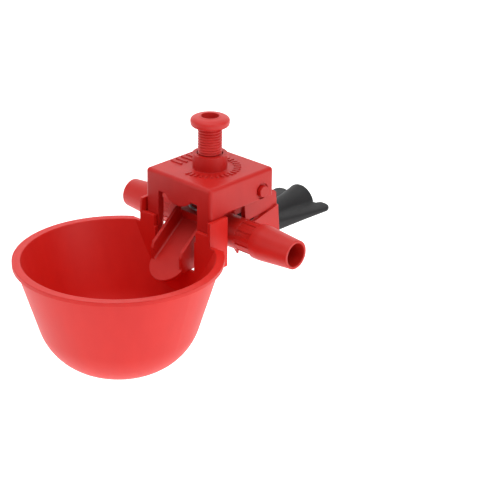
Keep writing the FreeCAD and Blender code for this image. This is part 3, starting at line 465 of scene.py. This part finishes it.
nut_front, nut_back = reach("wing_nut", BOLT_BACK)
nut_span = reach("wing_nut", BOLT_SIDE)[1]
TUBE_END = nut_back - 1.9 * MM
NUT_BORE_DEPTH = 19.5 * MM
NUT_BORE_RADIUS = BOLT_RADIUS + 0.08 * MM
TUBE_SPOKES = 80
tube = turned(eased_profile([
    (NUT_BORE_RADIUS, nut_front + NUT_BORE_DEPTH),
    (NUT_BORE_RADIUS, nut_front),
    (5.0 * MM, nut_front),
    (5.0 * MM, nut_front + 18.2 * MM),
    (5.4 * MM, nut_front + 22.0 * MM),
    (6.2 * MM, TUBE_END),
    (5.0 * MM, TUBE_END),
    (4.4 * MM, TUBE_END - 0.8 * MM),
    (0, TUBE_END - 0.8 * MM),
], [0.3 * MM, 0.4 * MM, 3.0 * MM, 3.0 * MM, 0.6 * MM, 0.5 * MM, 0.5 * MM]),
    BOLT_FOOT, BOLT_BACK, BOLT_SIDE, TUBE_SPOKES)
bore_end = np.broadcast_to(BOLT_FOOT + BOLT_BACK * (nut_front + NUT_BORE_DEPTH), tube[:1].shape)
tube = np.vstack([bore_end, tube])


def wing(side):
    """Blade from inside the tube to its straight outer edge: for each place along the bolt, a
    flattened ring (superellipse) whose half-thickness falls outwards and towards the tip."""
    along = np.linspace(0, 1, 90)[:, None]
    round_ring = np.linspace(0, 2 * math.pi, 64, endpoint=False)[None, :]
    front, back = nut_front + 1.4 * MM, nut_back
    back_place = front + (back - front) * along
    tip_radius, foot_reach = 3.1 * MM, 6.6 * MM
    outer = foot_reach + (nut_span - foot_reach) * np.clip(along / 0.885, 0, 1)
    from_tip = np.clip((back_place - (back - tip_radius)) / tip_radius, 0, 1)
    curve = tip_radius * (1 - np.sqrt(1 - from_tip ** 2))
    outer = outer - curve
    inner = np.where(back_place > TUBE_END - 1.2 * MM,
                     nut_span - 2 * tip_radius + curve, 1.0 * MM)
    half = (outer - inner) / 2
    centre = (outer + inner) / 2
    power = 0.55
    lap = np.sign(np.cos(round_ring)) * np.abs(np.cos(round_ring)) ** power
    rise = np.sign(np.sin(round_ring)) * np.abs(np.sin(round_ring)) ** power
    across = centre + half * lap
    outward = np.clip(across / nut_span, 0, 1)
    thick = (3.6 * MM - 1.9 * MM * along) * (1 - 0.45 * outward)
    fade = np.sqrt(np.clip(along / 0.05, 0.02, 1)) * np.sqrt(np.clip((1 - along) / 0.03, 0.02, 1))
    points = np.stack([side * across, back_place + 0 * across, thick * fade * rise], -1)
    ends = [np.broadcast_to(points[k].mean(0), points[:1].shape) for k in (0, -1)]
    return np.vstack([ends[0], points, ends[1]])


def joined(name, grids):
    """One mesh of several closed grids."""
    whole = bmesh.new()
    for number, grid in enumerate(grids):
        part = grid_mesh(f"{name}_{number}", grid, close_columns=True)
        whole.from_mesh(part)
        bpy.data.meshes.remove(part)
    mesh = bpy.data.meshes.new(name)
    whole.to_mesh(mesh)
    whole.free()
    mesh.shade_smooth()
    return mesh


nut = place("wing_nut_moulding", joined("wing_nut_moulding", [tube, wing(1), wing(-1)]), nylon)
blend_walls = nut.modifiers.new("blend_walls", "REMESH")
blend_walls.mode = "VOXEL"
blend_walls.voxel_size = 0.28 * MM
blend_walls.use_smooth_shade = True
soften = nut.modifiers.new("soften", "SMOOTH")
soften.factor = 0.5
soften.iterations = 10
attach(nut, "nut")
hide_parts("wing_nut")

# --- Valve spring ---------------------------------------------------------------------------------
# Stainless wire coil between the valve seat and the box's roof, with a closed turn at each end.
# The roof stands open at the front when the bowl is empty, so the coil's pitch is wider there.

spring_low, spring_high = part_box("valve_spring")
rock = next(j for j in frame["joints"] if j["name"] == "hanger_rock")
pivot = np.array(rock["pos_m"], float)
open_angle = math.radians(rock["range_deg"][1]) if "range_deg" in rock else rock["range"][1]
WIRE_RADIUS = 0.5 * MM
COIL_RADIUS = (spring_high.x - spring_low.x) / 2 - WIRE_RADIUS
COIL_TURNS = 6.5
seat_top = spring_low.z
coil_y = (spring_low.y + spring_high.y) / 2
level_height = spring_high.z - seat_top


def coil(turn_count):
    """Helix with dead ends: height is a smooth ramp of the turn, then stretched by how far the
    open roof stands above its level place at that point."""
    turn = np.linspace(0, turn_count, int(turn_count * 48))
    ramp = np.clip((turn - 0.9) / (turn_count - 1.8), 0, 1)
    dead = 2 * WIRE_RADIUS * (np.clip(turn, 0, 0.9) + np.clip(turn - turn_count + 0.9, 0, 0.9)) * 0.98
    live = level_height - 2 * WIRE_RADIUS - dead.max()
    angle = 2 * math.pi * turn
    flat = np.stack([COIL_RADIUS * np.cos(angle), coil_y + COIL_RADIUS * np.sin(angle), 0 * turn], -1)
    rise = WIRE_RADIUS + dead + live * ramp
    opened = np.maximum(pivot[1] - flat[:, 1] - 0.5 * MM, 0) * math.sin(open_angle)
    flat[:, 2] = seat_top + rise + opened * rise / level_height
    return flat


def wire(path, radius, count):
    """Round wire along a path: a circle in the plane across the path at each point, closed ends."""
    ahead = np.gradient(path, axis=0)
    ahead /= np.linalg.norm(ahead, axis=1)[:, None]
    side = np.cross(ahead, [0, 0, 1.0])
    side /= np.linalg.norm(side, axis=1)[:, None]
    up = np.cross(side, ahead)
    angle = np.linspace(0, 2 * math.pi, count, endpoint=False)
    ring = np.cos(angle)[None, :, None] * side[:, None] + np.sin(angle)[None, :, None] * up[:, None]
    tube_points = path[:, None] + radius * ring
    ends = [np.broadcast_to(path[k], tube_points[:1].shape) for k in (0, -1)]
    return np.vstack([ends[0], tube_points, ends[1]])


def bright_wire(name):
    """Drawn stainless wire: fine streaks and a slightly uneven polish."""
    finish = Finish(name)
    coordinates = finish.add("ShaderNodeTexCoord", {}, {}, 3)
    drawn = finish.noise(coordinates, 2600.0, 2.0)
    return finish.surface({
        "Base Color": finish.blend(drawn, (0.20, 0.20, 0.21, 1), (0.30, 0.30, 0.30, 1)),
        "Metallic": 1.0,
        "Roughness": 0.34 + drawn * 0.15,
        "Normal": finish.add("ShaderNodeBump", {}, {"Height": drawn, "Strength": 0.1, "Distance": 0.00005}),
    })


spring = place("valve_spring_wire",
               grid_mesh("valve_spring_wire", wire(coil(COIL_TURNS), WIRE_RADIUS, 14), close_columns=True),
               bright_wire("spring_steel"))
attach(spring, "bracket")
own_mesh(spring)
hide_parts("valve_spring")
